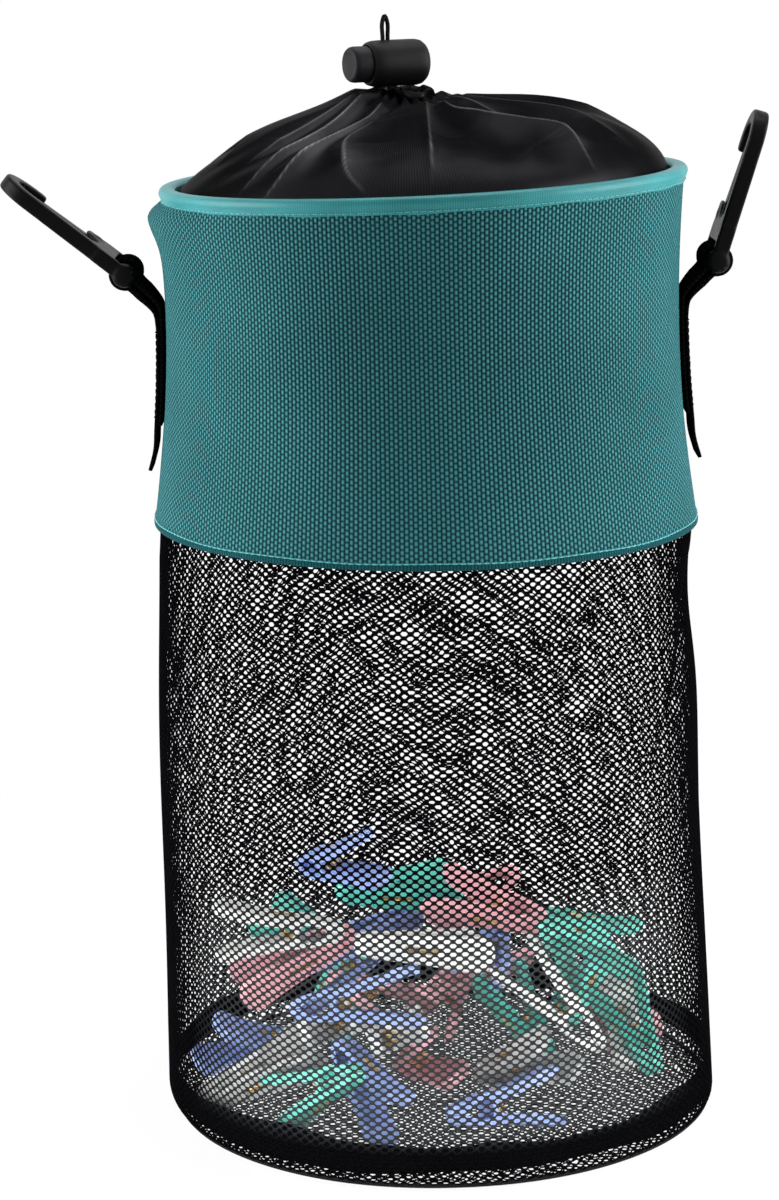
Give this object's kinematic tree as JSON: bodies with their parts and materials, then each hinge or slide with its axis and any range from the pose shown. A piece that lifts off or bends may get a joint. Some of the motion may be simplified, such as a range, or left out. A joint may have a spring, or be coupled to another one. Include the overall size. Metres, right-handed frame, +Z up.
{
  "type": "peg bag",
  "caption": "Round laundry peg bag: stiff woven band over a mesh wall, gathered drawcord top with a cord lock, snap hooks on side tabs, and spring pegs inside.",
  "frame": {"origin": "middle of the base, on the ground", "axes": "+Z up along the bag, -Y to the front, +X to the right hook"},
  "size_m": [0.287, 0.214, 0.4189],
  "materials": {
    "band_cloth": "ribbed woven polyester",
    "stiff_board": "thin flexible board",
    "black_cloth": "plain woven polyester",
    "black_net": "knitted net",
    "binding": "smooth shiny bias binding",
    "closure_cloth": "thin satin nylon",
    "cord": "round elastic cord",
    "webbing": "ribbed webbing",
    "lock_plastic": "moulded, matt",
    "hook_plastic": "moulded, glossy",
    "steel": "drawn wire",
    "spring_wire": "plated wire",
    "mint": "moulded",
    "pink": "moulded",
    "blue": "moulded",
    "white": "moulded"
  },
  "bodies": {
    "bag": {"band_shell": "band_cloth", "band_stiffener": "stiff_board", "band_lining": "black_cloth", "band_hem": "band_cloth", "mesh_wall": "black_net", "base_panel": "black_net", "base_tape": "black_cloth", "rim_binding": "binding", "rim_hoop": "steel", "tab_left": "webbing", "tab_right": "webbing", "peg_01": "mint", "peg_02": "pink", "peg_03": "blue", "peg_04": "white", "peg_05": "mint", "peg_06": "pink", "peg_07": "blue", "peg_08": "white", "peg_09": "mint", "peg_10": "pink", "peg_11": "blue", "peg_12": "white", "peg_13": "mint", "peg_14": "pink", "peg_15": "blue", "peg_16": "white", "peg_17": "mint", "peg_18": "pink", "peg_19": "blue", "peg_20": "white", "peg_21": "mint", "peg_22": "pink", "peg_23": "blue", "peg_24": "white", "peg_25": "mint", "peg_26": "pink", "peg_27": "blue", "peg_28": "white", "peg_29": "mint", "peg_30": "pink", "peg_31": "blue", "opening_peg_1_lower_lever": "white", "opening_peg_1_spring": "spring_wire", "opening_peg_2_lower_lever": "mint", "opening_peg_2_spring": "spring_wire"},
    "closure": {"closure_fabric": "closure_cloth", "neck_channel": "closure_cloth", "drawcord": "cord"},
    "cord_lock": {"lock_barrel": "lock_plastic", "lock_spring": "steel"},
    "lock_button": {"lock_button": "lock_plastic"},
    "right_hook": {"hook_right": "hook_plastic", "gate_pin_right": "steel"},
    "right_gate": {"gate_right": "hook_plastic"},
    "left_hook": {"hook_left": "hook_plastic", "gate_pin_left": "steel"},
    "left_gate": {"gate_left": "hook_plastic"},
    "opening_peg_1": {"opening_peg_1_upper_lever": "white"},
    "opening_peg_2": {"opening_peg_2_upper_lever": "mint"}
  },
  "joints": [
    {"name": "closure_lift", "type": "slide", "parent": "bag", "child": "closure", "axis": [0, 0, 1], "range_m": [-0.012, 0.005]},
    {"name": "lock_slide", "type": "slide", "parent": "closure", "child": "cord_lock", "axis": [0, 0, 1], "range_m": [0, 0.006]},
    {"name": "lock_press", "type": "slide", "parent": "cord_lock", "child": "lock_button", "axis": [0.8829, 0.4695, 0], "range_m": [0, 0.0045], "stiffness_N_per_m": 500, "springref_m": -0.004, "deforming": ["lock_spring"]},
    {"name": "right_hook_swing", "type": "hinge", "parent": "bag", "child": "right_hook", "pos_m": [0.11028, 0, 0.326], "axis": [0, 1, 0], "range_deg": [-13, 132]},
    {"name": "right_gate_swing", "type": "hinge", "parent": "right_hook", "child": "right_gate", "pos_m": [0.11523, 0.008, 0.34122], "axis": [0.9511, 0, -0.309], "range_deg": [0, 18], "stiffness_Nm_per_rad": 0.03, "springref_deg": -8.59},
    {"name": "left_hook_swing", "type": "hinge", "parent": "bag", "child": "left_hook", "pos_m": [-0.11028, 0, 0.326], "axis": [0, 1, 0], "range_deg": [-99, 46]},
    {"name": "left_gate_swing", "type": "hinge", "parent": "left_hook", "child": "left_gate", "pos_m": [-0.12272, 0.008, 0.33607], "axis": [0.6293, 0, 0.7771], "range_deg": [0, 18], "stiffness_Nm_per_rad": 0.03, "springref_deg": -8.59},
    {"name": "opening_peg_1_jaw", "type": "hinge", "parent": "bag", "child": "opening_peg_1", "pos_m": [-0.05744, -0.00323, 0.06665], "axis": [-0.1035, -0.9946, 0], "range_deg": [0, 22], "stiffness_Nm_per_rad": 0.3, "springref_deg": -17.19, "deforming": ["opening_peg_1_spring"]},
    {"name": "opening_peg_2_jaw", "type": "hinge", "parent": "bag", "child": "opening_peg_2", "pos_m": [0.05691, 0.02406, 0.05474], "axis": [0.6093, 0.7929, 0], "range_deg": [0, 22], "stiffness_Nm_per_rad": 0.3, "springref_deg": -17.19, "deforming": ["opening_peg_2_spring"]}
  ]
}
